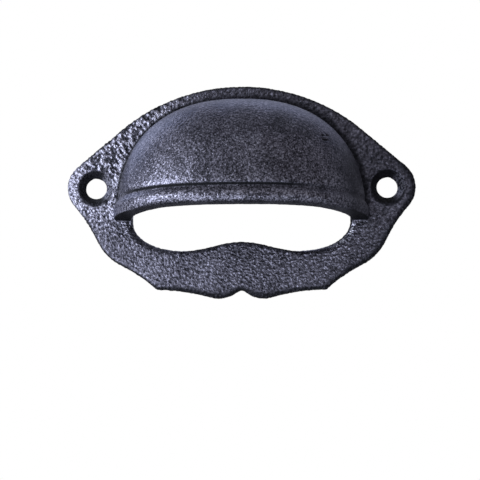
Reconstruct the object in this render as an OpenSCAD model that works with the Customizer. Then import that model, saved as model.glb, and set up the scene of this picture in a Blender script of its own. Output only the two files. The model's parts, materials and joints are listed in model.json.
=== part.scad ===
// Cup pull cast in one piece: a scalloped flange with two screw holes, a half-dome
// hood with a banded rim, and a finger window under the rim.
// The back face lies on y = 0, the hood stands out towards -Y and +Z is up.
// The origin is on the back face, midway between the two screw holes.

/* [Flange] */
// Distance between the centres of the screw holes
hole_spacing = 66.675; // [65:0.025:76.2]
// Thickness of the flange
flange_t = 2.6; // [2.2:0.1:4]
// Rounding of the flange's front edge
edge_r = 0.6; // [0.3:0.05:0.75]
// Radius of the tips round the screw holes
tip_r = 6.4; // [5.4:0.1:7.4]
// Height of the crown above the hole line
crown_z = 23.6; // [22.5:0.1:28]
// Radius of the crown's arc
crown_r = 42.5; // [39:0.5:48]
// Width of the crown's arc, from where straight flanks run to the tips
crown_w = 55.8; // [50:0.1:60]
// Distance of the shoulder arc's centre from the middle
shoulder_x = 22; // [20:0.1:23]
// Depth of the shoulder arc's centre below the hole line
shoulder_drop = 7.1; // [6:0.1:8]
// Radius of the shoulder arc
shoulder_r = 12; // [11:0.1:13]
// Radius of the hollow neck between tip and shoulder
neck_r = 34; // [15:1:60]
// Distance of the lower corner from the middle
corner_x = 18.9; // [17.5:0.1:20.5]
// Depth of the lower corner below the hole line
corner_drop = 22.6; // [21.6:0.1:24]
// Rounding of the lower corner
corner_r = 0.8; // [0.8:0.05:1.6]
// Radius of the hollow flank between shoulder and corner
flank_r = 35; // [20:1:80]
// Distance of the two bottom lobes from the middle
lobe_x = 5.2; // [4.5:0.1:6]
// Depth of the lobes below the hole line
lobe_drop = 25.4; // [25:0.1:28]
// Radius of the lobes
lobe_r = 7; // [6:0.1:8]
// Radius of the hollow sweep between corner and lobe
sweep_r = 45; // [25:1:90]
// Radius at the bottom of the notch between the lobes
notch_r = 1.5; // [0.8:0.1:2.2]

/* [Screw holes] */
// Diameter of the screw holes
hole_d = 4.8; // [3.6:0.1:5.4]
// Diameter of the countersinks on the front face
sink_d = 7.8; // [6.4:0.1:8.8]
// Full angle of the countersinks
sink_angle = 82; // [82:1:100]

/* [Hood] */
// Depth of the part from back face to the front of the rim
projection = 25.4; // [22:0.1:32]
// Width of the dome at the rim, without the band's bead
hood_w = 56.5; // [50:0.1:58]
// Height of the dome's top above the hole line
hood_z = 19.8; // [17:0.1:20.4]
// Depth of the rim's underside below the hole line
rim_drop = 7.4; // [5:0.1:9]
// Fullness of the dome, where 2 is an ellipsoid
fullness = 2.35; // [2:0.05:2.8]
// Thickness of the hood's wall
wall_t = 3.4; // [2.5:0.1:4.5]
// Radius of the fillet between dome and flange
fillet_r = 0.6; // [0.3:0.1:1.2]

/* [Rim band] */
// Height of the band along the rim
band_h = 4.2; // [3.2:0.1:6]
// How far the band is set back under the dome's lower edge
band_recess = 0.4; // [0.1:0.05:0.6]
// How far the band's bead stands proud of the dome
bead_proud = 0.7; // [0.3:0.1:1.5]
// Height of the bead's fullest line above the rim
bead_z = 1.7; // [1:0.1:2.6]
// How far the bead rounds in towards the rim's underside
bead_tuck = 1; // [0.6:0.1:2]

/* [Window] */
// Depth of the window's widest line below the rim
window_gap = 0.5; // [0.3:0.1:1.5]
// Distance of the window's two low points from the middle
window_lobe_x = 13.2; // [10:0.1:16]
// Depth of the window's low points below the hole line
window_drop = 14.7; // [13:0.1:17]
// Rise of the window's lower edge at the middle
window_rise = 2.1; // [0.5:0.1:4]
// Rounding of the window's lower front edge
window_edge_r = 0.8; // [0.4:0.1:1.2]

/* [Hidden] */

// Largest distance between an arc and its chords
chord_tol = 0.015;
// Chords along a half section of the dome, and sections from flange to front
dome_chords = 40;
dome_sections = 16;
// Chords along each edge of the hollow, and sections from flange to front
hollow_chords = 28;
hollow_sections = 12;
// Overlap of solids and cutters
lap = 0.3;

hole_x = hole_spacing / 2;
hood_a = hood_w / 2;
hood_b = hood_z + rim_drop;
hood_seat = flange_t / 2;
hood_c = projection - bead_proud - hood_seat;
window_z = -rim_drop - window_gap;
hollow_a = hood_a - wall_t;
hollow_b = hood_z - wall_t - window_z;
hollow_c = hood_c - wall_t;

// Point at an angle on a circle, and the angle from one point to another
function polar(c, r, a) = c + r * [cos(a), sin(a)];
function heading(p, q) = atan2(q.y - p.y, q.x - p.x);

// Arc from angle a to b, drawn inset by d but stepped as at its full radius r
function arc(c, r, a, b, d) =
    let (n = max(2, ceil(abs(b - a) / (2 * acos(1 - chord_tol / r)))))
    [for (i = [0 : n]) polar(c, r - d, a + (b - a) * i / n)];

// Centre of the hollow arc of radius r that touches circles p and q on their left side
function hollow_centre(p, pr, q, qr, r) =
    let (d = norm(q - p),
         u = (q - p) / d,
         s = (d * d + (pr + r) ^ 2 - (qr + r) ^ 2) / (2 * d))
    p + u * s + [-u.y, u.x] * sqrt((pr + r) ^ 2 - s * s);

// Hollow arc between two circles, inset by d with them
function hollow_arc(p, q, h, r, d) = arc(h, r, heading(h, p), heading(h, q), -d);

// Right half of the flange's outline from crown to notch, inset by d
function half_outline(d) =
    let (crown = [0, crown_z - crown_r],
         tip = [hole_x, 0],
         shoulder = [shoulder_x, -shoulder_drop],
         corner = [corner_x, -corner_drop],
         lobe = [lobe_x, lobe_r - lobe_drop],
         twin = [-lobe_x, lobe.y],
         neck = hollow_centre(tip, tip_r, shoulder, shoulder_r, neck_r),
         flank = hollow_centre(shoulder, shoulder_r, corner, corner_r, flank_r),
         sweep = hollow_centre(corner, corner_r, lobe, lobe_r, sweep_r),
         notch = hollow_centre(lobe, lobe_r, twin, lobe_r, notch_r),
         crown_end = acos(crown_w / 2 / crown_r),
         flare = polar(crown, crown_r, crown_end),
         tip_start = heading(tip, flare) - acos(tip_r / norm(flare - tip)))
    concat(
        arc(crown, crown_r, 90, crown_end, d),
        arc(tip, tip_r, tip_start, heading(tip, neck), d),
        trim(hollow_arc(tip, shoulder, neck, neck_r, d)),
        arc(shoulder, shoulder_r, heading(shoulder, neck), heading(shoulder, flank), d),
        trim(hollow_arc(shoulder, corner, flank, flank_r, d)),
        arc(corner, corner_r, heading(corner, flank), heading(corner, sweep), d),
        trim(hollow_arc(corner, lobe, sweep, sweep_r, d)),
        arc(lobe, lobe_r, heading(lobe, sweep), heading(lobe, notch), d),
        tail(arc(notch, notch_r, heading(notch, lobe), 90, -d)));

// A list without its two ends, without its first item, and mirrored about the Z axis
function trim(v) = [for (i = [1 : len(v) - 2]) v[i]];
function tail(v) = [for (i = [1 : len(v) - 1]) v[i]];
function both_sides(v) = concat(v, [for (i = [len(v) - 2 : -1 : 1]) [-v[i].x, v[i].y]]);

// Mean of a list of points
function middle(v) = [for (p = v) 1] * v / len(v);

// Points of the XZ plane set at a depth in front of the back face
function at_depth(v, depth) = [for (p = v) [p.x, -depth, p.y]];

// Share of full width left at share s of the dome's depth or height
function taper(s) = (1 - s ^ fullness) ^ (1 / fullness);

// Quarter turn of the dome's section as [width, height] shares at angle t
function swell(t) = [sign(cos(t)) * abs(cos(t)) ^ (2 / fullness), abs(sin(t)) ^ (2 / fullness)];

// Solid through rings of equal length, each end closed by a fan round a given point
module loft(rings, first, last) {
    n = len(rings[0]);
    m = len(rings);
    polyhedron(
        points = concat([for (r = rings) each r], [first, last]),
        faces = concat(
            [for (j = [0 : m - 2], i = [0 : n - 1])
                let (a = j * n + i, b = j * n + (i + 1) % n)
                each [[a, b, b + n], [a, b + n, a + n]]],
            [for (i = [0 : n - 1]) [n * m, (i + 1) % n, i]],
            [for (i = [0 : n - 1]) [n * m + 1, (m - 1) * n + i, (m - 1) * n + (i + 1) % n]]));
}

// Flat plate with the scalloped outline and a rounded front edge
module flange() {
    turns = [0 : 30 : 90];
    rings = concat(
        [at_depth(both_sides(half_outline(0)), 0)],
        [for (t = turns) at_depth(both_sides(half_outline(edge_r * (1 - cos(t)))),
                                  flange_t - edge_r * (1 - sin(t)))]);
    loft(rings, middle(rings[0]), middle(rings[len(rings) - 1]));
}

// Half-section of the dome at a depth, widened by grow, from the band up
function dome_ring(depth, grow) =
    let (k = taper((depth - hood_seat) / hood_c),
         low = asin((band_h / (hood_b * k + grow)) ^ (fullness / 2)))
    [for (i = [0 : dome_chords])
        let (s = swell(180 - low - (180 - 2 * low) * i / dome_chords))
        [(hood_a * k + grow) * s.x, -depth, (hood_b * k + grow) * s.y - rim_drop]];

// Outer form of the dome, filleted into the flange and ending over the band
module dome() {
    turns = [75 : -25 : 0];
    start = asin(((flange_t + fillet_r - hood_seat) / hood_c) ^ (fullness / 2));
    front = acos((1.06 * band_h / hood_b) ^ (fullness / 2));
    foot = fillet_r * (1 - cos(75)) + lap * tan(75);
    rings = concat(
        [dome_ring(flange_t + fillet_r * (1 - sin(75)) - lap, foot)],
        [for (t = turns) dome_ring(flange_t + fillet_r * (1 - sin(t)), fillet_r * (1 - cos(t)))],
        [for (i = [1 : dome_sections])
            dome_ring(hood_seat + hood_c * swell(start + (front - start) * i / dome_sections).y, 0)]);
    loft(rings, middle(rings[0]), middle(rings[len(rings) - 1]));
}

// Level section of the band at height h over the rim, standing grow proud of the dome
function band_ring(h, grow) =
    let (k = taper(h / hood_b))
    [for (i = [0 : dome_chords])
        let (s = swell(180 * i / dome_chords))
        [(hood_a * k + grow) * s.x, -hood_seat - (hood_c * k + grow) * s.y, h - rim_drop]];

// Rim band, solid across: a round bead below, hollowing in under the dome's edge
module band() {
    rings = concat(
        [for (t = [0 : 22.5 : 90])
            band_ring(bead_z * (1 - cos(t)), bead_proud - bead_tuck * (1 - sin(t)))],
        [for (t = [36 : 36 : 180])
            band_ring(bead_z + (band_h - bead_z) * t / 180,
                      bead_proud - (bead_proud + band_recess) * (1 - cos(t)) / 2)],
        [band_ring(band_h + lap, -band_recess)]);
    loft(rings, middle(rings[0]), middle(rings[len(rings) - 1]));
}

// Lower edge of the window at x: rounded ends and a raised middle
function window_edge(x) =
    let (low = -window_drop - window_z,
         end = sqrt(max(0, 1 - (max(0, abs(x) - window_lobe_x) / (hollow_a - window_lobe_x)) ^ 2)),
         rise = abs(x) < window_lobe_x ? window_rise * (1 + cos(180 * x / window_lobe_x)) / 2 : 0)
    window_z + low * end + rise;

// Outline shared by the hollow and the window, as [point, share of edge rounding]
function mouth() =
    concat(
        [for (i = [0 : hollow_chords])
            let (s = swell(180 - 180 * i / hollow_chords))
            [[hollow_a * s.x, window_z + hollow_b * s.y], 0]],
        [for (i = [1 : 2 * hollow_chords - 1])
            let (t = 180 * i / (2 * hollow_chords), x = hollow_a * cos(t))
            [[x, window_edge(x)], min(1, 4 * sin(t) ^ 2)]]);

// The mouth at a depth, shrunk by k and its lower edge opened by grow
function mouth_ring(depth, k, grow) =
    let (m = mouth(), n = len(m))
    [for (i = [0 : n - 1])
        let (along = m[(i + 1) % n][0] - m[(i + n - 1) % n][0],
             out = [-along.y, along.x] / norm(along),
             p = m[i][0] + out * grow * m[i][1])
        [p.x * k, -depth, window_z + (p.y - window_z) * k]];

// Finger hollow inside the hood together with the window through the flange
module hollow() {
    turns = [0 : 25 : 75];
    foot = window_edge_r * (1 - cos(75)) + lap * tan(75);
    deep = flange_t - window_edge_r * (1 - sin(75)) + lap;
    start = asin(((deep - hood_seat) / hollow_c) ^ (fullness / 2));
    rings = concat(
        [mouth_ring(-lap, 1, 0)],
        [for (t = turns) mouth_ring(flange_t - window_edge_r * (1 - sin(t)), 1,
                                    window_edge_r * (1 - cos(t)))],
        [mouth_ring(deep, 1, foot)],
        [for (i = [1 : hollow_sections - 1])
            let (t = start + (90 - start) * i / hollow_sections)
            mouth_ring(hood_seat + hollow_c * swell(t).y, swell(t).x, foot)]);
    loft(rings, [0, lap, window_z], [0, -hood_seat - hollow_c, window_z]);
}

// Countersunk screw hole at the middle of a tip
module screw_hole() {
    sink_h = (sink_d - hole_d) / 2 / tan(sink_angle / 2);
    grow = lap * tan(sink_angle / 2);
    translate([hole_x, lap, 0])
        rotate([90, 0, 0])
            cylinder(h = flange_t + 2 * lap, d = hole_d, $fn = 48);
    translate([hole_x, sink_h - flange_t, 0])
        rotate([90, 0, 0])
            cylinder(h = sink_h + lap, d1 = hole_d, d2 = sink_d + 2 * grow, $fn = 48);
}

module cup_pull() {
    color("#2e3036")
        difference() {
            union() {
                flange();
                dome();
                band();
            }
            hollow();
            screw_hole();
            mirror([1, 0, 0]) screw_hole();
        }
}

cup_pull();
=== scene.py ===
"""Dresses the cup pull: one black iron casting with a sand-cast skin, on a plain studio stage."""

from __future__ import annotations

import json
import logging
import math
from dataclasses import dataclass, replace
from enum import Enum
from typing import Any, Mapping, Sequence, Union

import bmesh
import bpy
import numpy as np
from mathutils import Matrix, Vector, noise
from mathutils.bvhtree import BVHTree
from mathutils.kdtree import KDTree

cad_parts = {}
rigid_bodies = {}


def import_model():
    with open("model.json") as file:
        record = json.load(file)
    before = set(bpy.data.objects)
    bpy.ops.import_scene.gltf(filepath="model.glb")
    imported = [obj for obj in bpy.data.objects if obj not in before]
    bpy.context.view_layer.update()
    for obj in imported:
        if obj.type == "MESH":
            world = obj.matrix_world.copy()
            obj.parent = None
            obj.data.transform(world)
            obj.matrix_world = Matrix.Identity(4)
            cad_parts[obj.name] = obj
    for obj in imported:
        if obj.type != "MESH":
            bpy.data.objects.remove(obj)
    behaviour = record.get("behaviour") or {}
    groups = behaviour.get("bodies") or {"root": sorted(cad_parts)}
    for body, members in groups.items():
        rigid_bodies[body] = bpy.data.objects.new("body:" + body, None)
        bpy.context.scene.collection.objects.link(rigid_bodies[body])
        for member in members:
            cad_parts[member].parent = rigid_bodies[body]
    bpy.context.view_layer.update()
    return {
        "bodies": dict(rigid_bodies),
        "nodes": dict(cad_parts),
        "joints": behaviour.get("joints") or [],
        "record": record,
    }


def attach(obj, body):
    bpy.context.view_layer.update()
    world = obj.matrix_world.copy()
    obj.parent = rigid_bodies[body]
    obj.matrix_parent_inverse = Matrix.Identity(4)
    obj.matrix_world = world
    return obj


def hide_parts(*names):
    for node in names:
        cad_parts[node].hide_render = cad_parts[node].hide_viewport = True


LOG = logging.getLogger("cup_pull")
MM = 0.001
TINY = 1e-6
NOISE_MEAN = 0.5
# A normal that turns less than this to the front or back belongs to an edge.
EDGE_TURN = 0.3
# The Mix node's colour sockets go by number, because its other kinds share their names.
MIX_FIRST, MIX_SECOND, MIX_RESULT = 6, 7, 2

Colour = tuple[float, float, float]
Place = tuple[float, float, float]
Span = tuple[float, float]
Number = Union[int, float]


class Layer(Enum):
    """Attributes that the casting's mesh hands to its finish."""

    COARSE = "coarse"
    RELIEF = "relief"
    # SEAM marks where a painted shadow line runs along the seam.
    SEAM = "seam"
    # Painted shade: where shadows, creases and edges turned from the light are painted near black.
    PAINTED_SHADE = "painted_shade"
    # Painted highlights: where lit edges and faces are painted brighter.
    PAINTED_HIGHLIGHT = "painted_highlight"


class Edge(Enum):
    """Edges of the flange, with the side that their faces look to: 1 outwards, -1 inwards."""

    OUTER = 1.0
    WINDOW = -1.0


class Value:
    """A shader socket that adds Math nodes when it stands in an expression."""

    def __init__(self, graph: Graph, socket: bpy.types.NodeSocket) -> None:
        """Wraps a socket of a graph.

        Args:
            graph: The graph that owns the socket.
            socket: An output socket that carries one number.
        """
        self.graph = graph
        self.socket = socket

    def _math(self, operation: str, *terms: Union[Value, Number]) -> Value:
        """Adds a Math node.

        Args:
            operation: The node's operation.
            terms: Its inputs in order, as values or plain numbers.

        Returns:
            The node's result.
        """
        sockets = dict(enumerate(terms))
        return self.graph.node("ShaderNodeMath", {"operation": operation}, sockets).value("Value")

    def __add__(self, other: Union[Value, Number]) -> Value:
        """Adds."""
        return self._math("ADD", self, other)

    def __radd__(self, other: Number) -> Value:
        """Adds to a number on the left."""
        return self._math("ADD", other, self)

    def __sub__(self, other: Union[Value, Number]) -> Value:
        """Subtracts."""
        return self._math("SUBTRACT", self, other)

    def __rsub__(self, other: Number) -> Value:
        """Subtracts from a number on the left."""
        return self._math("SUBTRACT", other, self)

    def __mul__(self, other: Union[Value, Number]) -> Value:
        """Multiplies."""
        return self._math("MULTIPLY", self, other)

    def __rmul__(self, other: Number) -> Value:
        """Multiplies a number on the left."""
        return self._math("MULTIPLY", other, self)

    def __truediv__(self, other: Union[Value, Number]) -> Value:
        """Divides."""
        return self._math("DIVIDE", self, other)

    def __rtruediv__(self, other: Number) -> Value:
        """Divides a number on the left."""
        return self._math("DIVIDE", other, self)

    def __abs__(self) -> Value:
        """Drops the sign."""
        return self._math("ABSOLUTE", self)

    def clamped(self, low: float = 0.0, high: float = 1.0) -> Value:
        """Keeps the value between two numbers."""
        return self._math("MINIMUM", self._math("MAXIMUM", self, low), high)


class Node:
    """A shader node whose outputs are asked for by name."""

    def __init__(self, graph: Graph, node: bpy.types.Node) -> None:
        """Wraps a node.

        Args:
            graph: The graph that owns the node.
            node: The node itself.
        """
        self.graph = graph
        self.node = node

    def value(self, name: str) -> Value:
        """Gives an output that carries a number."""
        return Value(self.graph, self.node.outputs[name])

    def link(self, name: Union[str, int]) -> bpy.types.NodeSocket:
        """Gives an output that carries a colour, vector or shader."""
        return self.node.outputs[name]


class Graph:
    """A node tree that nodes are added to by one method."""

    def __init__(self, tree: bpy.types.NodeTree) -> None:
        """Empties a tree and takes it over.

        Args:
            tree: The node tree of a material or world.
        """
        tree.nodes.clear()
        self.tree = tree

    def node(
        self,
        kind: str,
        settings: Mapping[str, Any] | None = None,
        sockets: Mapping[Union[str, int], Any] | None = None,
    ) -> Node:
        """Adds a node, sets it up and fills its sockets.

        Args:
            kind: The node's type.
            settings: Properties that are set first. "stops" gives a ramp's positions and colours.
            sockets: Input names or numbers with a value, or an output to link.

        Returns:
            The new node.
        """
        made = self.tree.nodes.new(kind)
        for key, setting in (settings or {}).items():
            if key == "stops":
                self._set_stops(made.color_ramp, setting)
            else:
                setattr(made, key, setting)
        for key, given in (sockets or {}).items():
            target = made.inputs[key]
            if isinstance(given, Value):
                self.tree.links.new(given.socket, target)
            elif isinstance(given, bpy.types.NodeSocket):
                self.tree.links.new(given, target)
            else:
                target.default_value = given
        return Node(self, made)

    def mix(
        self, share: Value, first: bpy.types.NodeSocket, second: Colour
    ) -> bpy.types.NodeSocket:
        """Mixes a fixed colour into another.

        Args:
            share: How much of the fixed colour.
            first: The other colour's output.
            second: The fixed colour.

        Returns:
            The output of the mixed colour.
        """
        sockets = {"Factor": share, MIX_FIRST: first, MIX_SECOND: (*second, 1.0)}
        return self.node("ShaderNodeMix", {"data_type": "RGBA"}, sockets).link(MIX_RESULT)

    @staticmethod
    def _set_stops(ramp: bpy.types.ColorRamp, stops: Sequence[tuple[float, Colour]]) -> None:
        """Gives a colour ramp its stops.

        Args:
            ramp: The ramp, which starts with two stops.
            stops: Positions with their colours, in rising order.
        """
        while len(ramp.elements) < len(stops):
            ramp.elements.new(1.0)
        for element, (position, colour) in zip(ramp.elements, stops):
            element.position = position
            element.color = (*colour, 1.0)


@dataclass(frozen=True)
class Patterns:
    """What varies over the skin, as the finish reads it at the shaded point."""

    coarse: Value
    fine: Value
    relief: Value
    # Share of painted highlights.
    painted_highlight: Value
    # Share of painted shade, with the seam's painted shadow line.
    shade_share: Value
    pebbles: Value
    grain: Value
    blotches: Value


@dataclass(frozen=True)
class BlackIron:
    """Satin black finish of the casting, pebbled on the flange and finer on the hood.

    The tone runs from 0 in the pits to 1 on the brightest crests, partly bare metal and partly
    painted glint. Fields that end in tone or rough say how strongly a pattern moves the tone or
    the roughness, on fine skin where they start with fine.
    """

    name: str = "black_iron"
    pit: Colour = (0.009, 0.009, 0.012)
    skin: Colour = (0.030, 0.029, 0.039)
    crest: Colour = (0.068, 0.066, 0.089)
    # Top of the tone: partly bare metal on crests, partly painted glint.
    crest_glint: Colour = (0.110, 0.108, 0.140)
    tones: tuple[float, float, float, float] = (0.15, 0.50, 0.85, 1.0)
    # Colour of painted glints.
    glint: Colour = (0.40, 0.40, 0.47)
    # Colour of the painted shade.
    painted_shade: Colour = (0.0015, 0.0015, 0.002)
    edge_tint: Colour = (0.70, 0.72, 0.86)
    metallic: float = 1.0
    shade_gloss: float = 0.04

    # Sizes of the patterns. A detail is a noise's octaves and the share that each keeps.
    pebble: float = 0.50 * MM
    grain: float = 0.30 * MM
    small_detail: Span = (1.0, 0.5)
    blotch: float = 6.0 * MM
    blotch_detail: Span = (3.0, 0.6)
    pebble_height: float = 0.22 * MM
    grain_height: float = 0.040 * MM
    # Half width and sharpness of the painted shadow line along the seam.
    seam_shadow_half: float = 0.34 * MM
    seam_shadow_core: float = 1.5

    # What makes the iron brighter or darker. Painted highlights show on pebbles above a level.
    relief_shading_tone: float = 0.65
    grain_tone: float = 0.6
    fine_grain_tone: float = 3.8
    fine_grain_bend: float = 1.25
    blotch_tone: float = 0.5
    fine_blotch_tone: float = 0.9
    fine_pebble_tone: float = 2.8
    left_light_tone: float = 0.35
    highlight_tone: float = 1.2
    highlight_level: float = 0.3
    # Painted glints show on pebbles where the painted highlights are strongest.
    glint_from: float = 1.7
    glint_level: float = 0.45
    glint_gain: float = 8.0
    # How the painted shade is mottled by the pebbles.
    shade_least: float = 0.55
    shade_pebble: float = 0.9

    # What makes it rougher or smoother.
    roughness: float = 0.38
    roughness_limits: Span = (0.22, 0.7)
    roughness_swing: float = 0.16
    blotch_rough: float = 1.2
    grain_rough: float = 0.6
    relief_rough: float = 0.25
    fine_rough: float = 0.25
    fine_rough_from: float = 0.42
    # Extra roughness where shade is painted.
    shade_rough: float = 0.3

    def material(self, seam_z: float) -> bpy.types.Material:
        """Makes the material.

        Args:
            seam_z: Height of the seam over the rim band.

        Returns:
            A node material for the casting.
        """
        material = bpy.data.materials.new(self.name)
        material.use_nodes = True
        graph = Graph(material.node_tree)
        seen = self._patterns(graph, seam_z)
        shader = graph.node(
            "ShaderNodeBsdfPrincipled",
            None,
            {
                "Base Color": self._colour(graph, seen),
                "Roughness": self._rough(seen),
                "Metallic": self.metallic * (1.0 - seen.shade_share),
                "Specular IOR Level": self.shade_gloss,
                "Specular Tint": (*self.edge_tint, 1.0),
                "Normal": self._normal(graph, seen),
            },
        )
        graph.node("ShaderNodeOutputMaterial", None, {"Surface": shader.link("BSDF")})
        return material

    def _patterns(self, graph: Graph, seam_z: float) -> Patterns:
        """Adds the nodes for what varies over the skin.

        Args:
            graph: The material's graph.
            seam_z: Height of the seam over the rim band.

        Returns:
            The values that the colour, roughness and bump are made from.
        """
        place = graph.node("ShaderNodeTexCoord").link("Object")
        height = graph.node("ShaderNodeSeparateXYZ", None, {"Vector": place}).value("Z")
        coarse = self._attribute(graph, Layer.COARSE)
        pebbles = self._noise(graph, place, self.pebble, self.small_detail)
        # Painted shadow line along the seam, under the dome's overhanging edge.
        seam = (self.seam_shadow_core - abs(height - seam_z) / self.seam_shadow_half).clamped()
        seam = seam * self._attribute(graph, Layer.SEAM)
        # Painted shade, mottled by the pebbles.
        shaded = self._attribute(graph, Layer.PAINTED_SHADE) * (self.shade_least + pebbles * self.shade_pebble)
        return Patterns(
            coarse=coarse,
            fine=(1.0 - coarse).clamped(),
            relief=self._attribute(graph, Layer.RELIEF),
            painted_highlight=self._attribute(graph, Layer.PAINTED_HIGHLIGHT),
            shade_share=(1.0 - (1.0 - shaded.clamped()) * (1.0 - seam)).clamped(),
            pebbles=pebbles,
            grain=self._noise(graph, place, self.grain, self.small_detail),
            blotches=self._noise(graph, place, self.blotch, self.blotch_detail),
        )

    def _tone(self, seen: Patterns) -> Value:
        """Works out how bright the iron is, before painted glints and painted shade.

        Args:
            seen: What varies over the skin.

        Returns:
            The tone, from 0 to 1.
        """
        grainy = self.fine_grain_bend - seen.fine
        grainy = self.grain_tone + seen.fine * grainy * self.fine_grain_tone
        blotchy = self.blotch_tone + seen.fine * self.fine_blotch_tone
        # Crests of pebbles and wrinkles painted lighter and pits darker: painted highlight and
        # painted shade.
        tone = NOISE_MEAN + seen.coarse * seen.coarse * seen.relief * self.relief_shading_tone
        tone = tone + (seen.grain - NOISE_MEAN) * grainy
        tone = tone + (seen.blotches - NOISE_MEAN) * blotchy
        tone = tone + seen.fine * (seen.pebbles - NOISE_MEAN) * self.fine_pebble_tone
        # The flange's left painted brighter, as painted light from the lamps on the left.
        tone = tone + (seen.coarse - 1.0).clamped() * self.left_light_tone
        # Painted highlights brighten the pebbles above a level.
        tone = tone + seen.painted_highlight * (seen.pebbles - self.highlight_level) * self.highlight_tone
        return tone.clamped()

    def _colour(self, graph: Graph, seen: Patterns) -> bpy.types.NodeSocket:
        """Colours the skin: iron by its tone, then painted glints, then painted shade.

        Args:
            graph: The material's graph.
            seen: What varies over the skin.

        Returns:
            The colour's output.
        """
        stops = list(zip(self.tones, (self.pit, self.skin, self.crest, self.crest_glint)))
        ramp = graph.node("ShaderNodeValToRGB", {"stops": stops}, {"Fac": self._tone(seen)})
        # Painted glints where the painted highlights are strongest.
        glinting = (seen.painted_highlight - self.glint_from).clamped()
        glints = (glinting * (seen.pebbles - self.glint_level) * self.glint_gain).clamped()
        metal = graph.mix(glints, ramp.link("Color"), self.glint)
        # Painted shade laid over the metal.
        return graph.mix(seen.shade_share, metal, self.painted_shade)

    def _rough(self, seen: Patterns) -> Value:
        """Works out the roughness, which is greatest at the hood's ends and in painted shade.

        Args:
            seen: What varies over the skin.

        Returns:
            The roughness.
        """
        swing = (seen.blotches - NOISE_MEAN) * self.blotch_rough
        swing = swing + (seen.grain - NOISE_MEAN) * self.grain_rough
        swing = swing - seen.coarse * seen.relief * self.relief_rough
        ends = (seen.fine - self.fine_rough_from).clamped()
        rough = self.roughness + ends * self.fine_rough + swing * self.roughness_swing
        return rough.clamped(*self.roughness_limits) + seen.shade_share * self.shade_rough

    def _normal(self, graph: Graph, seen: Patterns) -> bpy.types.NodeSocket:
        """Adds the grain that is finer than the mesh, as a bump.

        Args:
            graph: The material's graph.
            seen: What varies over the skin.

        Returns:
            The output of the bumped normal.
        """
        height = seen.coarse * (seen.pebbles - NOISE_MEAN) * self.pebble_height
        height = height + (seen.grain - NOISE_MEAN) * self.grain_height
        sockets = {"Strength": 1.0, "Distance": 1.0, "Height": height}
        return graph.node("ShaderNodeBump", None, sockets).link("Normal")

    @staticmethod
    def _attribute(graph: Graph, layer: Layer) -> Value:
        """Reads one of the mesh's own attributes at the shaded point."""
        settings = {"attribute_type": "GEOMETRY", "attribute_name": layer.value}
        return graph.node("ShaderNodeAttribute", settings).value("Fac")

    @staticmethod
    def _noise(graph: Graph, place: bpy.types.NodeSocket, size: float, detail: Span) -> Value:
        """Adds a noise of a given feature size.

        Args:
            graph: The material's graph.
            place: The coordinates, in metres.
            size: Size of its cells in metres.
            detail: Octaves above the first, and the share that each of them keeps.

        Returns:
            The noise, which is NOISE_MEAN on average.
        """
        octaves, kept = detail
        sockets = {"Vector": place, "Scale": 1.0 / size, "Detail": octaves, "Roughness": kept}
        return graph.node("ShaderNodeTexNoise", None, sockets).value("Fac")


def between(span: Span, share: np.ndarray) -> np.ndarray:
    """Goes from a span's first value, at share 0, to its second, at share 1."""
    return span[0] + (span[1] - span[0]) * share


def rounded(size: float, share: np.ndarray) -> np.ndarray:
    """Says how far a quarter round of a given size draws back at a share of its height."""
    return size * (1.0 - np.sqrt(1.0 - (1.0 - share) ** 2))


def noise_at(points: np.ndarray, cell: float, shift: Place) -> np.ndarray:
    """Works out a smooth noise at each point.

    Args:
        points: Rows of x, y, z.
        cell: Size of its cells.
        shift: A shift, in cells, that sets it apart from others.

    Returns:
        Values from about -1 to 1.
    """
    moved = Vector(shift)
    values = (noise.noise(Vector(point) / cell + moved) for point in points)
    return np.fromiter(values, dtype=float, count=len(points))


@dataclass(frozen=True)
class Fade:
    """A share that is 0 at one value of a measure and 1 at another."""

    none: float
    full: float

    @classmethod
    def mm(cls, none: float, full: float) -> Fade:
        """Makes a fade between two lengths in millimetres."""
        return cls(none * MM, full * MM)

    def at(self, values: np.ndarray) -> np.ndarray:
        """Gives the share at each value."""
        return np.clip((values - self.none) / (self.full - self.none), 0.0, 1.0)


@dataclass(frozen=True)
class Form:
    """Sizes of the solid casting in metres, and measures of points against its hood."""

    flange_t: float = 2.6 * MM
    hole_spacing: float = 66.675 * MM
    sink_d: float = 7.8 * MM
    hood_a: float = 28.25 * MM
    hood_b: float = 27.2 * MM
    hood_c: float = 23.4 * MM
    hood_seat: float = 1.3 * MM
    rim_drop: float = 7.4 * MM
    fullness: float = 2.35
    wall_t: float = 3.4 * MM
    band_h: float = 4.2 * MM
    seam_under: float = 0.2 * MM
    bead_z: float = 1.7 * MM
    bead_tuck: float = 1.0 * MM
    window_gap: float = 0.5 * MM
    window_mid: float = 13.5 * MM

    @property
    def dome(self) -> tuple[float, float, float]:
        """The hood's half sizes across, up and forward."""
        return self.hood_a, self.hood_b, self.hood_c

    @property
    def seam_rise(self) -> float:
        """Height of the seam over the rim's lower edge."""
        return self.band_h - self.seam_under

    def fill(self, points: np.ndarray, axes: Place, drop: float) -> np.ndarray:
        """Measures points against one of the hood's swollen ellipsoids.

        Args:
            points: Rows of x, y, z.
            axes: The ellipsoid's half sizes across, up and forward.
            drop: How far its middle lies below the holes.

        Returns:
            1 on the ellipsoid, less inside it.
        """
        across = np.abs(points[:, 0]) / axes[0]
        up = np.abs(points[:, 2] + drop) / axes[1]
        forward = np.maximum(-points[:, 1] - self.hood_seat, 0.0) / axes[2]
        power = self.fullness
        return (across**power + up**power + forward**power) ** (1.0 / power)


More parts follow.
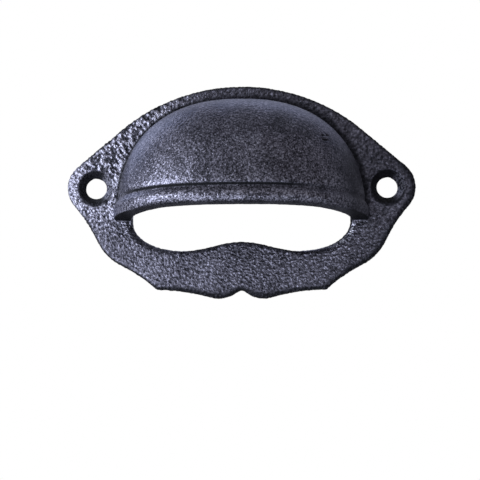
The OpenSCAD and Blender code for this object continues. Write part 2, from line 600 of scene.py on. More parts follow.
@dataclass(frozen=True)
class Surface:
    """Points of the casting's skin with their normals, measured against its form."""

    form: Form
    points: np.ndarray
    normals: np.ndarray

    # Where its marks begin and end.
    sink_edge: Fade = Fade.mm(0.15, -0.15)
    sink_free: float = 0.01
    hood_under: float = 1.2 * MM
    hood_over: float = 0.4 * MM
    lit_turn: Fade = Fade(0.3, 0.7)

    @property
    def x(self) -> np.ndarray:
        """Places across, positive to the right."""
        return self.points[:, 0]

    @property
    def z(self) -> np.ndarray:
        """Heights over the holes."""
        return self.points[:, 2]

    @property
    def rise(self) -> np.ndarray:
        """Heights over the rim's lower edge."""
        return self.z + self.form.rim_drop

    @property
    def depth(self) -> np.ndarray:
        """Distances in front of the back face."""
        return -self.points[:, 1]

    @property
    def over(self) -> np.ndarray:
        """Distances in front of the flange's face."""
        return self.depth - self.form.flange_t

    @property
    def proud(self) -> np.ndarray:
        """Distances outside the dome's curve."""
        full = self.form.fill(self.points, self.form.dome, self.form.rim_drop)
        return (full - 1.0) * self.form.hood_c

    @property
    def facing(self) -> np.ndarray:
        """How far points face the front: 1 straight on, -1 straight away."""
        return -self.normals[:, 1]

    @property
    def outside(self) -> np.ndarray:
        """Marks the outer face of the hood and band with 1."""
        return (self.proud > -self.hood_under) * (self.over > self.hood_over).astype(float)

    @property
    def in_sinks(self) -> np.ndarray:
        """Marks the countersinks and holes with 1, with a narrow blend at their edge."""
        return self.sink_edge.at(self.sink_gap(0.0))

    @property
    def lit_walls(self) -> np.ndarray:
        """Marks walls of a countersink that face left, towards the lamps, where a highlight is
        painted in place of painted shade.
        """
        return self.lit_turn.at(-self.normals[:, 0]) * (self.facing > EDGE_TURN)

    def sink_gap(self, drop: float) -> np.ndarray:
        """Measures how far points lie outside the countersinks, moved down by a drop."""
        away = np.hypot(np.abs(self.x) - self.form.hole_spacing / 2, self.z + drop)
        return away - self.form.sink_d / 2

    def edge_gap(self, edge: Edge) -> np.ndarray:
        """Measures how far points lie from an edge of the flange, as seen from the front.

        Args:
            edge: The edge to measure from.

        Returns:
            The distance for each point.
        """
        across, forward, up = self.normals.T
        outward = self.x * across + (self.z + self.form.window_mid) * up
        side = (np.abs(forward) < EDGE_TURN) & (self.over < 0.0) & (outward * edge.value > 0.0)
        others = self.points[side & (self.in_sinks < self.sink_free)]
        tree = KDTree(len(others))
        for index, (x, _, z) in enumerate(others):
            tree.insert((x, 0.0, z), index)
        tree.balance()
        gaps = (tree.find((x, 0.0, z))[2] for x, _, z in self.points)
        return np.fromiter(gaps, dtype=float, count=len(self.points))


@dataclass(frozen=True)
class Patch:
    """A part of the front with soft borders across and up."""

    x: Fade
    z: Fade

    def at(self, surface: Surface) -> np.ndarray:
        """Gives the share at each point."""
        return self.x.at(surface.x) * self.z.at(surface.z)


@dataclass(frozen=True)
class Nick:
    """A small nick in the dome: its middle, half length and half height."""

    middle: Place
    length: float
    height: float
    fade: Fade = Fade(1.0, 0.5)

    def at(self, surface: Surface) -> np.ndarray:
        """Marks the nick's middle.

        Args:
            surface: The smooth skin.

        Returns:
            1 in its middle, 0 outside it.
        """
        off = surface.points - np.array(self.middle)
        level = np.hypot(off[:, 0], off[:, 1])
        return self.fade.at(np.hypot(level / self.length, off[:, 2] / self.height))


@dataclass(frozen=True)
class ShadeSpot:
    """A soft round spot of painted shade on the dome, as seen from the front."""

    x: float
    z: float
    size: float
    share: float
    fade: Fade = Fade(1.2, 0.2)

    def at(self, surface: Surface) -> np.ndarray:
        """Gives the spot's share at each point."""
        gap = np.hypot(surface.x - self.x, surface.z - self.z)
        return self.share * self.fade.at(gap / self.size)


@dataclass(frozen=True)
class CastSkin:
    """The skin of a sand casting: pebbles, waves, wrinkles, the seam's groove and small nicks."""

    pebble_cell: float = 0.50 * MM
    pebble_shift: Place = (0.0, 0.0, 0.0)
    pebble_height: float = 0.125 * MM
    wave_cell: float = 4.5 * MM
    wave_shift: Place = (7.3, 1.9, 4.1)
    wave_height: float = 0.05 * MM

    # How coarse it is, from the hood's ends to its front, and on the flange.
    flange: Fade = Fade.mm(0.6, 0.1)
    left: Patch = Patch(Fade.mm(-10.0, -18.0), Fade.mm(-13.0, -4.0))
    left_extra: float = 0.5
    hood_share: Span = (0.22, 0.58)
    hood_facing: Fade = Fade(0.25, 0.75)
    back_facing: Fade = Fade(-0.6, -0.9)
    back_depth: float = 0.5 * MM
    back_loss: float = 0.85
    sink_loss: float = 0.8

    # Wrinkles on the flange's upper left.
    wrinkle_middle: Span = (-23.0 * MM, 10.5 * MM)
    wrinkle_run: float = math.radians(36.0)
    wrinkle_cell: Span = (0.44 * MM, 1.15 * MM)
    wrinkle_shift: Place = (2.7, 5.1, 0.4)
    wrinkle_gain: float = 1.5
    wrinkle_height: float = 0.20 * MM
    wrinkle_reach: Fade = Fade.mm(19.5, 6.5)
    wrinkle_facing: Fade = Fade(0.6, 0.95)
    wrinkle_over: float = 0.3 * MM

    # The seam over the band, and nicks in the dome's right shoulder.
    seam_near: Fade = Fade.mm(1.5, 1.0)
    seam_left: Fade = Fade.mm(-30.0, -23.0)
    seam_right: Fade = Fade.mm(21.0, 11.0)
    groove: Fade = Fade.mm(0.4, 0.0)
    groove_depth: float = 0.15 * MM
    nicks: tuple[Nick, ...] = (
        Nick((18.63 * MM, -16.66 * MM, 7.73 * MM), 1.10 * MM, 0.42 * MM),
        Nick((18.11 * MM, -16.34 * MM, 8.76 * MM), 0.45 * MM, 0.38 * MM),
        Nick((19.18 * MM, -15.20 * MM, 8.98 * MM), 0.50 * MM, 0.38 * MM),
    )
    nick_depth: float = 0.30 * MM

    def coarse(self, surface: Surface) -> np.ndarray:
        """Says where the skin is coarse: 1 on the flange's front, less on the hood.

        Args:
            surface: The smooth skin.

        Returns:
            A share for each point, over 1 on the flange's left.
        """
        front = self.flange.at(surface.over)
        hood = between(self.hood_share, self.hood_facing.at(surface.facing))
        share = front * (1.0 + self.left_extra * self.left.at(surface)) + hood * (1.0 - front)
        back = self.back_facing.at(surface.facing) * (surface.depth < self.back_depth)
        return share * (1.0 - self.back_loss * back) * (1.0 - self.sink_loss * surface.in_sinks)

    def pebbles(self, surface: Surface) -> np.ndarray:
        """Works out the pebbles, from about -1 to 1."""
        return noise_at(surface.points, self.pebble_cell, self.pebble_shift)

    def wrinkles(self, surface: Surface) -> np.ndarray:
        """Works out the wrinkles of the flange's upper left, which run across its front.

        Args:
            surface: The smooth skin.

        Returns:
            Heights from -1 to 1, which fade out with the distance.
        """
        x = surface.x - self.wrinkle_middle[0]
        z = surface.z - self.wrinkle_middle[1]
        cosine, sine = math.cos(self.wrinkle_run), math.sin(self.wrinkle_run)
        along = (x * cosine + z * sine) / self.wrinkle_cell[0]
        aside = (z * cosine - x * sine) / self.wrinkle_cell[1]
        cells = np.stack([along, aside, np.zeros(len(x))], axis=1)
        fade = self.wrinkle_reach.at(np.hypot(x, z)) * self.wrinkle_facing.at(surface.facing)
        fade = fade * (surface.over < self.wrinkle_over)
        rough = fade * noise_at(cells, 1.0, self.wrinkle_shift)
        return np.clip(rough * self.wrinkle_gain, -1.0, 1.0)

    def seam(self, surface: Surface) -> np.ndarray:
        """Says where the seam over the band may show, as its groove and its painted shadow line,
        which fade out towards its ends.

        Args:
            surface: The skin.

        Returns:
            A share for each point.
        """
        near = self.seam_near.at(np.abs(surface.rise - surface.form.band_h))
        ends = self.seam_left.at(surface.x) * self.seam_right.at(surface.x)
        return near * ends * surface.outside

    def nicked(self, surface: Surface) -> np.ndarray:
        """Marks the middles of the nicks in the dome's right shoulder with 1."""
        return np.maximum.reduce([nick.at(surface) for nick in self.nicks])

    def heights(
        self, surface: Surface, coarse: np.ndarray, pebbles: np.ndarray, wrinkles: np.ndarray
    ) -> np.ndarray:
        """Adds up how far the skin stands off the smooth casting.

        Args:
            surface: The smooth skin.
            coarse: Where the skin is coarse.
            pebbles: The pebbles, from about -1 to 1.
            wrinkles: The wrinkles, from -1 to 1.

        Returns:
            Heights in metres.
        """
        waves = noise_at(surface.points, self.wave_cell, self.wave_shift)
        heights = coarse * pebbles * self.pebble_height + coarse * waves * self.wave_height
        heights = heights + wrinkles * self.wrinkle_height
        groove = self.groove.at(np.abs(surface.rise - surface.form.seam_rise))
        heights = heights - groove * self.seam(surface) * self.groove_depth
        return heights - self.nicked(surface) * self.nick_depth


@dataclass(frozen=True)
class PaintedShade:
    """Painted shade: where the iron is painted near black for shadows, creases, recesses and sides
    turned from the light.
    """

    # Painted shadow along the line where the dome meets the flange, from its left to its middle
    # and right.
    foot_across: Fade = Fade.mm(-20.0, 0.0)
    foot_reach: Span = (0.66 * MM, 1.20 * MM)
    foot_top: float = 0.65 * MM
    foot_soft: Span = (0.3 * MM, 0.8 * MM)
    foot_share: Span = (0.90, 0.78)
    foot_start: Fade = Fade.mm(0.0, 0.6)

    # Painted shade in the countersinks, and a painted shadow spill below each on the flange's
    # front.
    sink_share: float = 0.92
    lit_loss: float = 0.85
    spill_drop: float = 0.75 * MM
    spill: Fade = Fade.mm(0.10, -0.15)
    spill_over: float = 0.2 * MM
    spill_facing: float = 0.8
    spill_share: float = 0.85

    # Painted shade spots on the dome's front, and painted shade over its right end.
    shade_spots: tuple[ShadeSpot, ...] = (
        ShadeSpot(1.3 * MM, 10.6 * MM, 5.0 * MM, 0.45),
        ShadeSpot(8.8 * MM, 10.8 * MM, 4.0 * MM, 0.45),
        ShadeSpot(-7.0 * MM, 11.2 * MM, 4.0 * MM, 0.30),
        ShadeSpot(14.0 * MM, 9.5 * MM, 4.0 * MM, 0.25),
    )
    right_end: Patch = Patch(Fade.mm(17.0, 25.0), Fade.mm(12.0, 4.0))
    right_end_share: float = 0.55

    # Painted shade on the underside of the rim, from its middle to its ends.
    under_ends: Fade = Fade.mm(23.0, 25.5)
    under_share: Span = (0.7, 1.0)
    under_turn: Fade = Fade(0.55, 0.85)
    under_rise: Span = (-0.5 * MM, 0.8 * MM)
    under_over: float = 0.2 * MM

    # Painted shade on the dome's left limb, from its foot to its top.
    limb_rise: Fade = Fade.mm(12.0, 20.0)
    limb_turn: Span = (0.42, 0.25)
    limb_soft: float = 0.25
    limb_left: Fade = Fade.mm(-8.0, -16.0)
    limb_band: Fade = Fade.mm(-0.8, 0.8)
    limb_share: float = 0.85

    # Painted shade along the flange's outer edge, wider or narrower in places.
    edge_reach: float = 0.72 * MM
    edge: Fade = Fade(1.0, 0.4)
    edge_share: float = 0.9
    edge_over: float = 0.4 * MM
    low_right: Patch = Patch(Fade.mm(12.0, 24.0), Fade.mm(-3.0, -8.0))
    low_right_extra: float = 0.8
    right_tip: Fade = Fade.mm(33.0, 37.0)
    right_tip_extra: float = 1.4
    bottom: Fade = Fade.mm(-22.0, -25.0)
    bottom_extra: float = 1.5
    low_left: Patch = Patch(Fade.mm(-12.0, -20.0), Fade.mm(-6.0, -11.0))
    low_left_loss: float = 0.4
    left_tip: Fade = Fade.mm(-35.0, -37.5)
    left_tip_loss: float = 0.8

    # Painted shade on the flange's front along the window's two ends.
    window_left: Fade = Fade.mm(-12.0, -18.0)
    window_left_reach: Fade = Fade.mm(1.92, 0.32)
    window_left_share: float = 0.25
    window_right: Fade = Fade.mm(18.0, 22.0)
    window_right_reach: Fade = Fade.mm(0.44, 0.22)
    window_right_share: float = 0.9

    def shares(self, surface: Surface, inner: np.ndarray) -> np.ndarray:
        """Says how strongly shade is painted.

        Args:
            surface: The smooth skin.
            inner: How far each point lies from the window's edge.

        Returns:
            A share for each point.
        """
        hood = np.maximum(self._dome_shade(surface), self._limb(surface)) * surface.outside
        places = [self._sinks(surface), self._foot(surface), self._under(surface)]
        return np.maximum.reduce([*places, hood, self._edges(surface, inner)])

    def _foot(self, surface: Surface) -> np.ndarray:
        """Paints the shadow along the line where the dome meets the flange.

        Args:
            surface: The smooth skin.

        Returns:
            A share for each point.
        """
        across = self.foot_across.at(surface.x)
        up = Fade(0.0, surface.form.hood_b).at(surface.rise)
        reach = between(self.foot_reach, across) + self.foot_top * up**2
        gap = np.hypot(surface.over, surface.proud)
        share = np.clip((reach - gap) / between(self.foot_soft, across), 0.0, 1.0)
        return between(self.foot_share, across) * share * self.foot_start.at(surface.rise)

    def _sinks(self, surface: Surface) -> np.ndarray:
        """Paints shade in the countersinks, apart from their lit walls, and a shadow spill below
        them.

        Args:
            surface: The smooth skin.

        Returns:
            A share for each point.
        """
        spill = self.spill_share * self.spill.at(surface.sink_gap(self.spill_drop))
        spill = spill * (surface.over < self.spill_over) * (surface.facing > self.spill_facing)
        dark = self.sink_share - self.lit_loss * surface.lit_walls
        return np.maximum(surface.in_sinks * dark, spill)

    def _dome_shade(self, surface: Surface) -> np.ndarray:
        """Paints shade spots on the dome, and shade over its right end."""
        spots = [shade_spot.at(surface) for shade_spot in self.shade_spots]
        return np.maximum.reduce([*spots, self.right_end_share * self.right_end.at(surface)])

    def _under(self, surface: Surface) -> np.ndarray:
        """Paints shade on the underside of the rim, most at its ends.

        Args:
            surface: The smooth skin.

        Returns:
            A share for each point.
        """
        share = between(self.under_share, self.under_ends.at(np.abs(surface.x)))
        share = share * self.under_turn.at(-surface.normals[:, 2])
        low, high = self.under_rise
        share = share * (surface.rise > low) * (surface.rise < high)
        return share * (surface.over > self.under_over)

    def _limb(self, surface: Surface) -> np.ndarray:
        """Paints shade on the dome's left limb, where it turns away from the front.

        Args:
            surface: The smooth skin.

        Returns:
            A share for each point.
        """
        turn = between(self.limb_turn, self.limb_rise.at(surface.rise))
        facing = np.maximum(surface.facing, 0.0)
        share = self.limb_share * np.clip((turn - facing) / self.limb_soft, 0.0, 1.0)
        share = share * self.limb_left.at(surface.x)
        return share * self.limb_band.at(surface.rise - surface.form.band_h)

    def _edges(self, surface: Surface, inner: np.ndarray) -> np.ndarray:
        """Paints shade on the flange's rounded edges, widest low on the right, and at the window's
        ends.

        Args:
            surface: The smooth skin.
            inner: How far each point lies from the window's edge.

        Returns:
            A share for each point.
        """
        bottom = self.bottom.at(surface.z)
        extra = [
            self.low_right_extra * self.low_right.at(surface),
            self.right_tip_extra * self.right_tip.at(surface.x),
            self.bottom_extra * bottom,
        ]
        loss = self.low_left_loss * self.low_left.at(surface) * (1.0 - bottom)
        reach = self.edge_reach * (1.0 + np.maximum.reduce(extra)) * (1.0 - loss)
        share = self.edge_share * self.edge.at(surface.edge_gap(Edge.OUTER) / reach)
        below = surface.rise < 0.0
        left = self.window_left_reach.at(inner) * self.window_left.at(surface.x) * below
        share = np.maximum(share, self.window_left_share * left)
        share = share * (1.0 - self.left_tip_loss * self.left_tip.at(surface.x))
        right = self.window_right_reach.at(inner) * self.window_right.at(surface.x) * below
        share = np.maximum(share, self.window_right_share * right)
        return share * (surface.over < self.edge_over)


@dataclass(frozen=True)
class PaintedHighlights:
    """Painted highlights: where the iron is painted brighter where it faces the lamps. The highest
    shares add painted glints.
    """

    # Painted highlights on the band: its bead, the lip over the seam, and its left end.
    bead_up: float = 0.1 * MM
    bead: Fade = Fade.mm(1.5, 0.0)
    bead_share: float = 0.85
    bead_left: Fade = Fade.mm(-16.0, -22.0)
    bead_left_loss: float = 0.6
    lip_up: float = 0.7 * MM
    lip: Fade = Fade.mm(0.6, 0.0)
    lip_share: float = 0.6
    band_left: Fade = Fade.mm(-22.0, -25.0)
    band_low: Fade = Fade.mm(0.0, -1.2)
    band_share: float = 1.2

    # Painted highlights at the window's right end, and on the lit walls of the countersinks.
    window_right: Fade = Fade.mm(18.0, 22.0)
    window_low: Fade = Fade.mm(-0.7, -1.5)
    strip_inner: Fade = Fade.mm(0.2, 0.5)
    strip_outer: Fade = Fade.mm(1.76, 0.66)
    strip_share: float = 2.7
    around: Fade = Fade.mm(5.28, 2.88)
    around_share: float = 0.4
    wall_share: float = 1.6

    # Painted highlights on the flange's left half: its tip, beside the dome, and its lower arm.
    flange_over: float = 0.3 * MM
    tip: Fade = Fade.mm(-35.0, -37.5)
    beside_off: float = 1.2 * MM
    beside: Fade = Fade.mm(1.0, 0.0)
    beside_left: Fade = Fade.mm(-16.0, -22.0)
    bright_share: float = 1.5
    low_left: Patch = Patch(Fade.mm(-14.0, -22.0), Fade.mm(-10.0, -15.0))
    low_end: Fade = Fade.mm(-24.0, -20.0)
    low_share: float = 0.25

    def shares(self, surface: Surface, inner: np.ndarray) -> np.ndarray:
        """Says how strongly highlights are painted.

        Args:
            surface: The rough skin.
            inner: How far each point of the smooth skin lies from the window's edge.

        Returns:
            A share for each point.
        """
        walls = self.wall_share * surface.in_sinks * surface.lit_walls
        window = self._window(surface, inner)
        return np.maximum.reduce([self._band(surface), window, walls, self._left(surface)])

    def _band(self, surface: Surface) -> np.ndarray:
        """Paints highlights on the bead, the lip over the seam and the band's left end.

        Args:
            surface: The rough skin.

        Returns:
            A share for each point.
        """
        form = surface.form
        bead = self.bead.at(np.abs(surface.rise - form.bead_z - self.bead_up))
        bead = bead * (1.0 - self.bead_left_loss * self.bead_left.at(surface.x))
        lip = self.lip.at(np.abs(surface.rise - form.band_h - self.lip_up))
        end = self.band_left.at(surface.x) * self.band_low.at(surface.rise - form.band_h)
        highlights = [self.bead_share * bead, self.lip_share * lip, self.band_share * end]
        return np.maximum.reduce(highlights) * surface.outside

    def _window(self, surface: Surface, inner: np.ndarray) -> np.ndarray:
        """Paints a highlight strip along the window's right end, and a little on the flange around
        it.

        Args:
            surface: The rough skin.
            inner: How far each point of the smooth skin lies from the window's edge.

        Returns:
            A share for each point.
        """
        strip = self.strip_share * self.strip_inner.at(inner) * self.strip_outer.at(inner)
        share = np.maximum(strip, self.around_share * self.around.at(inner))
        share = share * self.window_right.at(surface.x) * self.window_low.at(surface.rise)
        return share * (surface.over < self.flange_over)

    def _left(self, surface: Surface) -> np.ndarray:
        """Paints highlights on the flange's left half: its tip, beside the dome, and a little on
        its lower arm.

        Args:
            surface: The rough skin.

        Returns:
            A share for each point.
        """
        beside = self.beside.at(np.abs(surface.proud - self.beside_off))
        beside = beside * self.beside_left.at(surface.x) * (surface.rise > 0.0)
        bright = self.bright_share * np.maximum(self.tip.at(surface.x), beside)
        low = self.low_share * self.low_left.at(surface) * self.low_end.at(surface.z)
        front = (surface.over < self.flange_over) * (surface.facing > EDGE_TURN)
        return np.maximum(bright, low) * front


@dataclass
class CupPull:
    """The casting: flange, hood, rim band and hollow in one piece. Lengths are in metres."""

    node: str = "cup_pull"
    piece: str = "cup_pull_casting"
    slot: str = "black_iron"
    form: Form = Form()
    skin: CastSkin = CastSkin()
    # Painted shade and painted highlights, laid into the finish's colour.
    painted_shade: PaintedShade = PaintedShade()
    painted_highlight: PaintedHighlights = PaintedHighlights()

    # The mesh: even faces, finer on the front and the edges, then smoothed.
    weld: float = 0.001 * MM
    voxel: float = 0.56 * MM
    fine_over: float = 0.3 * MM
    fine_rise: float = 1.0 * MM
    first_rounds: int = 3
    last_rounds: int = 1
    shrink: float = 0.5
    swell: float = -0.52

    # How near to the dome's and the hollow's exact curves a point is set on them.
    curve_near: Fade = Fade.mm(0.15, 0.10)
    curve_high: Fade = Fade.mm(0.0, 0.4)
    curve_over: Fade = Fade.mm(0.8, 1.2)
    dome_from: float = 0.3 * MM
    hollow_from: float = 0.8 * MM

    # The hood's two ends, where the bead is fuller and the rim hangs lower.
    end_x: Fade = Fade.mm(17.0, 25.0)
    end_outer: Fade = Fade.mm(-2.0, -0.6)
    end_proud: float = 1.5 * MM
    end_rise: float = -0.3 * MM
    end_over: float = 0.05 * MM
    end_fill: float = 0.9
    end_round: float = 0.25 * MM
    lip_drop: float = 0.45 * MM
    lip_wall: Fade = Fade.mm(-0.8, -0.4)
    lip_rise: Fade = Fade.mm(1.4, 0.0)
    lip_over: Fade = Fade.mm(0.0, 0.8)

    # The soft slope of the flange's front at the window's two ends.
    slope_sink: float = 0.60 * MM
    slope_gap: Fade = Fade.mm(1.3, 0.0)
    slope_bend: float = 1.2
    slope_x: Fade = Fade.mm(14.0, 20.0)
    slope_rise: Fade = Fade.mm(-0.2, -1.4)
    slope_over: float = 0.2 * MM

    def build(self, frame: Mapping[str, Any]) -> bpy.types.Object:
        """Makes the casting from the solid that it stands for.

        Args:
            frame: The loaded frame.

        Returns:
            The dressed mesh, not yet given its finish.
        """
        solid = frame["nodes"][self.node]
        mesh = self._even_mesh(solid)
        self._refine(mesh)
        points = self._smooth(mesh, self._points(mesh), self.first_rounds)
        points = self._smooth(mesh, self._onto(solid, points), self.last_rounds)
        surface = self._surface(mesh, self._true_curves(points))
        surface = self._surface(mesh, self._full_ends(surface))
        surface = self._surface(mesh, self._soft_window(surface))
        self._roughen(mesh, surface)
        mesh.polygons.foreach_set("use_smooth", np.ones(len(mesh.polygons), dtype=bool))
        mesh.update()
        casting = bpy.data.objects.new(self.piece, mesh)
        bpy.context.scene.collection.objects.link(casting)
        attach(casting, "root")
        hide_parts(self.node)
        return casting

    def dress(self, casting: bpy.types.Object, finish: BlackIron) -> None:
        """Gives the casting its finish.

        Args:
            casting: The built mesh.
            finish: The finish of its skin.
        """
        casting.data.materials.clear()
        casting.data.materials.append(finish.material(self.form.seam_rise - self.form.rim_drop))

    def _even_mesh(self, solid: bpy.types.Object) -> bpy.types.Mesh:
        """Covers the solid with an even mesh.

        Args:
            solid: The frame's own object, which is left as it is.

        Returns:
            A new mesh of small even faces.
        """
        twin = bpy.data.objects.new("even", solid.data.copy())
        bpy.context.scene.collection.objects.link(twin)
        weld = twin.modifiers.new("weld", "WELD")
        weld.merge_threshold = self.weld
        skin = twin.modifiers.new("skin", "REMESH")
        skin.mode = "VOXEL"
        skin.voxel_size = self.voxel
        skin.use_smooth_shade = True
        shown = twin.evaluated_get(bpy.context.evaluated_depsgraph_get())
        mesh = bpy.data.meshes.new_from_object(shown)
        mesh.name = self.piece
        spare = twin.data
        bpy.data.objects.remove(twin)
        bpy.data.meshes.remove(spare)
        return mesh

    def _refine(self, mesh: bpy.types.Mesh) -> None:
        """Splits the faces of the front and the edges in four, where the skin shows its detail.

        Args:
            mesh: The even mesh, which is changed.
        """
        work = bmesh.new()
        work.from_mesh(mesh)
        edges = {
            edge
            for face in work.faces
            if self._shows(face.calc_center_median(), face.normal)
            for edge in face.edges
        }
        bmesh.ops.subdivide_edges(work, edges=list(edges), cuts=1, use_grid_fill=True)
        wide = [face for face in work.faces if len(face.verts) > 4]
        bmesh.ops.triangulate(work, faces=wide)
        work.to_mesh(mesh)
        work.free()

    def _shows(self, centre: Vector, normal: Vector) -> bool:
        """Says if a face belongs to the front or an outer edge.

        Args:
            centre: The face's middle.
            normal: Its normal.

        Returns:
            True for the front and the edges, False for the back and inside the hollow.
        """
        form = self.form
        if -centre.y < form.flange_t + self.fine_over:
            return normal.y < EDGE_TURN
        if centre.z + form.rim_drop < self.fine_rise:
            return True
        across, up, forward = (size - form.wall_t / 2 for size in form.dome)
        full = form.fill(np.array([tuple(centre)]), (across, up, forward), form.rim_drop)
        return bool(full[0] > 1.0)

    @staticmethod
    def _points(mesh: bpy.types.Mesh) -> np.ndarray:
        """Reads a mesh's points.

        Args:
            mesh: The mesh to read.

        Returns:
            Rows of x, y, z.
        """
        points = np.empty(len(mesh.vertices) * 3)
        mesh.vertices.foreach_get("co", points)
        return points.reshape(-1, 3)

    def _surface(self, mesh: bpy.types.Mesh, points: np.ndarray) -> Surface:
        """Writes points to a mesh and reads the normals that they give it.

        Args:
            mesh: The mesh, which is changed.
            points: Its new points.

        Returns:
            The points with their normals.
        """
        mesh.vertices.foreach_set("co", points.ravel())
        mesh.update()
        normals = np.empty(len(mesh.vertices) * 3)
        mesh.vertex_normals.foreach_get("vector", normals)
        return Surface(self.form, points, normals.reshape(-1, 3))

    @staticmethod
    def _store(mesh: bpy.types.Mesh, layer: Layer, values: np.ndarray) -> None:
        """Keeps a number for each point as a mesh attribute."""
        made = mesh.attributes.new(layer.value, "FLOAT", "POINT")
        made.data.foreach_set("value", values.astype(np.float32))

    def _smooth(self, mesh: bpy.types.Mesh, points: np.ndarray, rounds: int) -> np.ndarray:
        """Evens out the steps of the mesh without shrinking it.

        Args:
            mesh: The mesh, for its edges.
            points: Its points.
            rounds: Pairs of a shrinking and a swelling pass.

        Returns:
            The smoothed points.
        """
        edges = np.empty(len(mesh.edges) * 2, dtype=np.int64)
        mesh.edges.foreach_get("vertices", edges)
        first, second = edges.reshape(-1, 2).T
        count = len(points)
        degree = np.bincount(edges, minlength=count)[:, None]
        for share in [self.shrink, self.swell] * rounds:
            total = np.stack(
                [
                    np.bincount(first, points[second, axis], count)
                    + np.bincount(second, points[first, axis], count)
                    for axis in range(3)
                ],
                axis=1,
            )
            points = points + share * (total / degree - points)
        return points

    @staticmethod
    def _onto(solid: bpy.types.Object, points: np.ndarray) -> np.ndarray:
        """Lays points on the solid's surface.

        Args:
            solid: The frame's own object, which is left as it is.
            points: Points near it.

        Returns:
            The nearest point on the solid for each.
        """
        corners = [vertex.co for vertex in solid.data.vertices]
        faces = [tuple(face.vertices) for face in solid.data.polygons]
        tree = BVHTree.FromPolygons(corners, faces)
        return np.array([tree.find_nearest(Vector(point))[0] for point in points])

    def _true_curves(self, points: np.ndarray) -> np.ndarray:
        """Sets the points of dome and hollow on their exact curves, away from the edges.

        Args:
            points: Points near those curves.

        Returns:
            All the points, with those moved.
        """
        form = self.form
        across, up, forward = (size - form.wall_t for size in form.dome)
        hollow = (across, up + form.window_gap, forward)
        shells = [
            (form.dome, form.rim_drop, form.band_h + self.dome_from),
            (hollow, form.rim_drop + form.window_gap, self.hollow_from),
        ]
        for axes, drop, lowest in shells:
            full = form.fill(points, axes, drop)
            near = self.curve_near.at(np.abs(full - 1.0) * form.hood_c)
            high = self.curve_high.at(points[:, 2] + drop - lowest)
            deep = self.curve_over.at(-points[:, 1] - form.flange_t)
            share = (near * high * deep)[:, None]
            middle = np.array([0.0, -form.hood_seat, -drop])
            exact = middle + (points - middle) / full[:, None]
            points = points + share * (exact - points)
        return points

    def _full_ends(self, surface: Surface) -> np.ndarray:
        """Fills out the band's bead at the hood's two ends, and lets the rim hang lower there.

        Args:
            surface: The smooth skin.

        Returns:
            All the points, with those moved.
        """
        form = self.form
        proud = surface.proud
        rise = np.clip(surface.rise, 0.0, form.bead_z)
        low = (surface.rise > self.end_rise) & (surface.over > self.end_over)
        ends = self.end_x.at(np.abs(surface.x)) * low * (proud < self.end_proud)
        tucked = rounded(form.bead_tuck, rise / form.bead_z)
        kept = rounded(self.end_round, np.minimum(rise / self.end_round, 1.0))
        fill = np.maximum(self.end_fill * tucked - kept, 0.0) * self.end_outer.at(proud) * ends
        lip = self.lip_rise.at(rise) * self.lip_wall.at(proud + form.wall_t) * ends
        moved = surface.points + self._outwards(surface) * fill[:, None]
        moved[:, 2] -= self.lip_drop * lip * self.lip_over.at(surface.over)
        return moved

    def _outwards(self, surface: Surface) -> np.ndarray:
        """Finds the level directions that lead straight out of the dome.

        Args:
            surface: The smooth skin.

        Returns:
            Rows of x, y, z, of length 1.
        """
        form = self.form
        power = form.fullness - 1.0
        across = np.sign(surface.x) * (np.abs(surface.x) / form.hood_a) ** power / form.hood_a
        forward = np.maximum(surface.depth - form.hood_seat, 0.0) / form.hood_c
        forward = forward**power / form.hood_c
        size = np.maximum(np.hypot(across, forward), TINY)
        return np.stack([across / size, -forward / size, np.zeros(len(size))], axis=1)

    def _soft_window(self, surface: Surface) -> np.ndarray:
        """Lets the flange's front slope down softly to the window's two ends.

        Args:
            surface: The smooth skin.

        Returns:
            All the points, with those of the slope moved back.
        """
        near = self.slope_gap.at(surface.edge_gap(Edge.WINDOW)) ** self.slope_bend
        near = near * self.slope_x.at(np.abs(surface.x)) * self.slope_rise.at(surface.rise)
        front = Fade(0.0, self.form.flange_t).at(surface.depth) * (surface.over < self.slope_over)
        moved = surface.points.copy()
        moved[:, 1] += self.slope_sink * near * front
        return moved

    def _roughen(self, mesh: bpy.types.Mesh, smooth: Surface) -> None:
        """Raises the cast skin on the mesh, and keeps for its finish where each look belongs,
        painted shade and painted highlights among them.

        Args:
            mesh: The mesh, which is changed.
            smooth: Its smooth skin.
        """
        inner = smooth.edge_gap(Edge.WINDOW)
        coarse = self.skin.coarse(smooth)
        pebbles = self.skin.pebbles(smooth)
        wrinkles = self.skin.wrinkles(smooth)
        # Painted shade, with the nicks' dents painted dark as their shade.
        painted_shade = np.maximum(self.painted_shade.shares(smooth, inner), self.skin.nicked(smooth))
        heights = self.skin.heights(smooth, coarse, pebbles, wrinkles)
        rough = replace(smooth, points=smooth.points + smooth.normals * heights[:, None])
        self._surface(mesh, rough.points)
        self._store(mesh, Layer.COARSE, coarse)
        self._store(mesh, Layer.RELIEF, np.clip(pebbles + wrinkles, -1.0, 1.0))
        # The seam's painted shadow line, the painted shade and the painted highlights.
        self._store(mesh, Layer.SEAM, self.skin.seam(rough))
        self._store(mesh, Layer.PAINTED_SHADE, painted_shade)
        self._store(mesh, Layer.PAINTED_HIGHLIGHT, self.painted_highlight.shares(rough, inner))


def bearing(azimuth: float, elevation: float) -> Vector:
    """Gives a direction as seen from the pull.

    Args:
        azimuth: Degrees round from straight in front, positive to the right.
        elevation: Degrees up.

    Returns:
        A vector of length 1.
    """
    around, above = math.radians(azimuth), math.radians(elevation)
    level = math.cos(above)
    return Vector((math.sin(around) * level, -math.cos(around) * level, math.sin(above)))


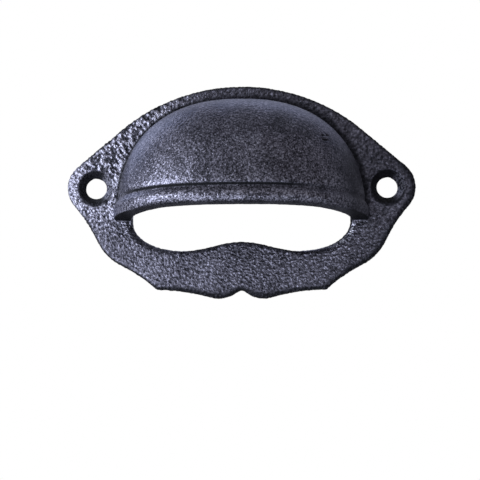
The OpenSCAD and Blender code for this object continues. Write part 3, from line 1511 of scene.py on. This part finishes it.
@dataclass(frozen=True)
class Lamp:
    """A soft square lamp that points at the pull."""

    name: str
    azimuth: float
    elevation: float
    distance: float
    size: float
    power: float
    colour: Colour = (0.88, 0.95, 1.0)

    def build(self, target: Vector) -> None:
        """Adds the lamp.

        Args:
            target: The point that it faces.
        """
        light = bpy.data.lights.new(self.name, "AREA")
        light.shape = "SQUARE"
        light.size = self.size
        light.energy = self.power
        light.color = self.colour
        lamp = bpy.data.objects.new(self.name, light)
        lamp.visible_camera = False
        bpy.context.scene.collection.objects.link(lamp)
        out = bearing(self.azimuth, self.elevation)
        lamp.location = target + out * self.distance
        lamp.rotation_euler = (-out).to_track_quat("-Z", "Y").to_euler()


@dataclass
class Studio:
    """The plain stage: floor, white surroundings, lamps and the photograph's camera."""

    target: Place = (-0.00027, -0.0026, -0.01229)
    azimuth: float = 1.5
    elevation: float = -8.5
    distance: float = 0.300
    lens: float = 99.3
    clip_start: float = 0.01
    floor_z: float = -0.30
    floor_size: float = 6.0
    floor_colour: Colour = (0.80, 0.80, 0.80)
    floor_roughness: float = 0.9
    room_colour: Colour = (1.0, 1.0, 1.0)
    room_light: float = 0.6
    lamp_target: Place = (0.0, -0.0026, 0.0)
    lamps: tuple[Lamp, ...] = (
        Lamp("key", -58.0, 0.0, 0.13, 0.10, 0.48),
        Lamp("graze_low", -82.0, -30.0, 0.16, 0.06, 0.08),
        Lamp("low", -16.0, -31.0, 0.13, 0.09, 0.24),
        Lamp("high", -35.0, 35.0, 0.13, 0.08, 0.05),
        Lamp("fill", 38.0, -25.0, 0.13, 0.07, 0.04),
        Lamp("back_left", -120.0, 40.0, 0.30, 0.20, 0.45),
        Lamp("back_top", -15.0, 115.0, 0.30, 0.20, 0.17),
    )

    def build(self) -> None:
        """Sets up the whole stage."""
        self._world()
        self._floor()
        for lamp in self.lamps:
            lamp.build(Vector(self.lamp_target))
        self._camera()
        bpy.context.scene.view_settings.view_transform = "Standard"

    def _world(self) -> None:
        """Makes the surroundings white to the eye and in reflections."""
        world = bpy.data.worlds.new("studio")
        bpy.context.scene.world = world
        world.use_nodes = True
        graph = Graph(world.node_tree)
        path = graph.node("ShaderNodeLightPath")
        seen = path.value("Is Camera Ray") + path.value("Is Glossy Ray")
        seen = (seen + path.value("Is Transmission Ray")).clamped()
        strength = self.room_light + seen * (1.0 - self.room_light)
        sockets = {"Color": (*self.room_colour, 1.0), "Strength": strength}
        shade = graph.node("ShaderNodeBackground", None, sockets)
        graph.node("ShaderNodeOutputWorld", None, {"Surface": shade.link("Background")})

    def _floor(self) -> None:
        """Lays the pale floor."""
        half = self.floor_size / 2
        corners = [(-half, -half), (half, -half), (half, half), (-half, half)]
        mesh = bpy.data.meshes.new("floor")
        mesh.from_pydata([(x, y, self.floor_z) for x, y in corners], [], [(0, 1, 2, 3)])
        material = bpy.data.materials.new("pale_floor")
        material.use_nodes = True
        graph = Graph(material.node_tree)
        sockets = {"Base Color": (*self.floor_colour, 1.0), "Roughness": self.floor_roughness}
        shader = graph.node("ShaderNodeBsdfPrincipled", None, sockets)
        graph.node("ShaderNodeOutputMaterial", None, {"Surface": shader.link("BSDF")})
        mesh.materials.append(material)
        floor = bpy.data.objects.new("floor", mesh)
        bpy.context.scene.collection.objects.link(floor)

    def _camera(self) -> None:
        """Places the camera at the photograph's angle."""
        back = bearing(self.azimuth, self.elevation)
        lens = bpy.data.cameras.new("camera")
        lens.lens = self.lens
        lens.clip_start = self.clip_start
        camera = bpy.data.objects.new("camera", lens)
        bpy.context.scene.collection.objects.link(camera)
        camera.location = Vector(self.target) + back * self.distance
        camera.rotation_euler = (-back).to_track_quat("-Z", "Y").to_euler()
        bpy.context.scene.camera = camera


def main() -> None:
    """Builds the part and its stage in order."""
    logging.basicConfig(level=logging.INFO, format="%(name)s: %(message)s")
    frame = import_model()
    pull = CupPull()
    casting = pull.build(frame)
    pull.dress(casting, BlackIron())
    LOG.info("%s: %d faces", casting.name, len(casting.data.polygons))
    Studio().build()
    LOG.info("studio is set")


if __name__ == "__main__":
    main()
